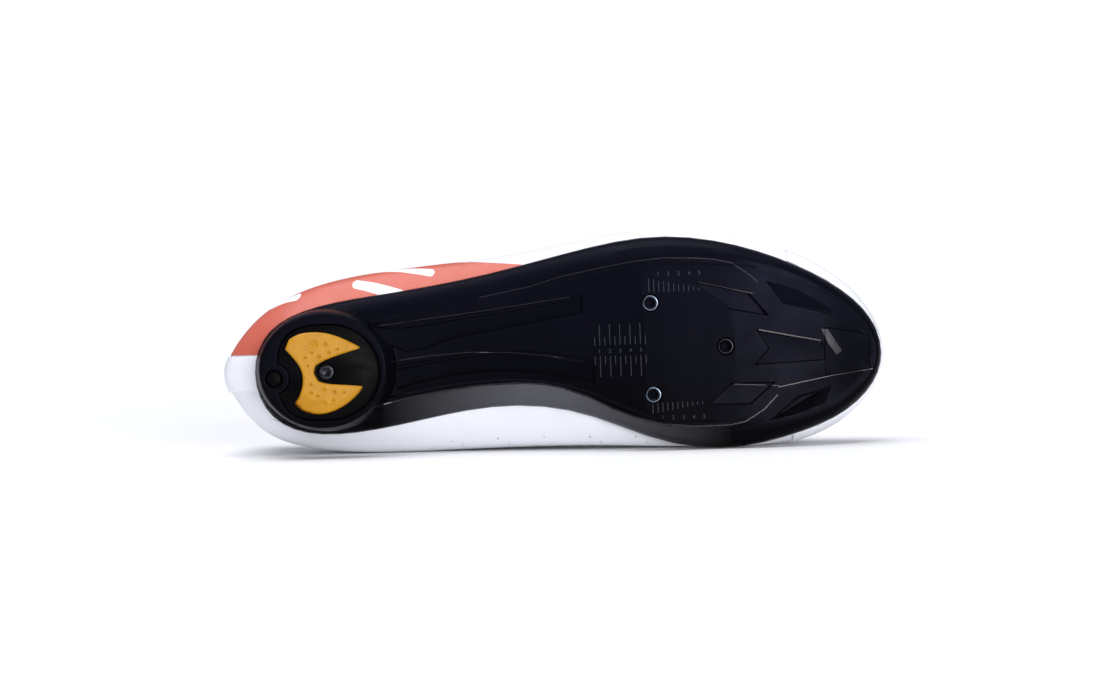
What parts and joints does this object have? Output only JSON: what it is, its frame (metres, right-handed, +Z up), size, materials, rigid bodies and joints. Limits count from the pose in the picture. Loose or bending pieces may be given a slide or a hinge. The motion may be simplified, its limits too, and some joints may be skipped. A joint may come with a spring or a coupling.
{
  "type": "cycling shoe",
  "caption": "Low road cycling shoe, right foot, lying on its inner side: stiff sole with threaded inserts for a cleat, heel tread, hollow upper, tongue and plain straps.",
  "frame": {"origin": "middle of the bounding box, on the floor that the shoe lies on", "axes": "+X from heel to toe, +Z up from the floor, +Y from the sole to the collar; the shoe lies on its inner side"},
  "size_m": [0.2976, 0.1206, 0.0977],
  "materials": {
    "sole": "satin",
    "black_plastic": "satin",
    "amber_rubber": "matte",
    "dark_steel": "satin",
    "steel": "satin",
    "upper": "satin",
    "smooth_film": "gloss",
    "lining": "matte",
    "strap": "satin"
  },
  "bodies": {
    "root": {"outsole": "sole", "heel_plate": "black_plastic", "heel_pad": "amber_rubber", "heel_screw": "dark_steel", "heel_plug": "black_plastic", "cleat_insert_outer": "steel", "cleat_insert_inner": "steel", "cleat_insert_front": "dark_steel", "upper": "upper", "toe_cap": "smooth_film", "heel_strip": "smooth_film", "tongue": "lining", "insole": "lining", "strap_lower": "strap", "strap_middle": "strap", "strap_upper": "strap"}
  },
  "joints": []
}
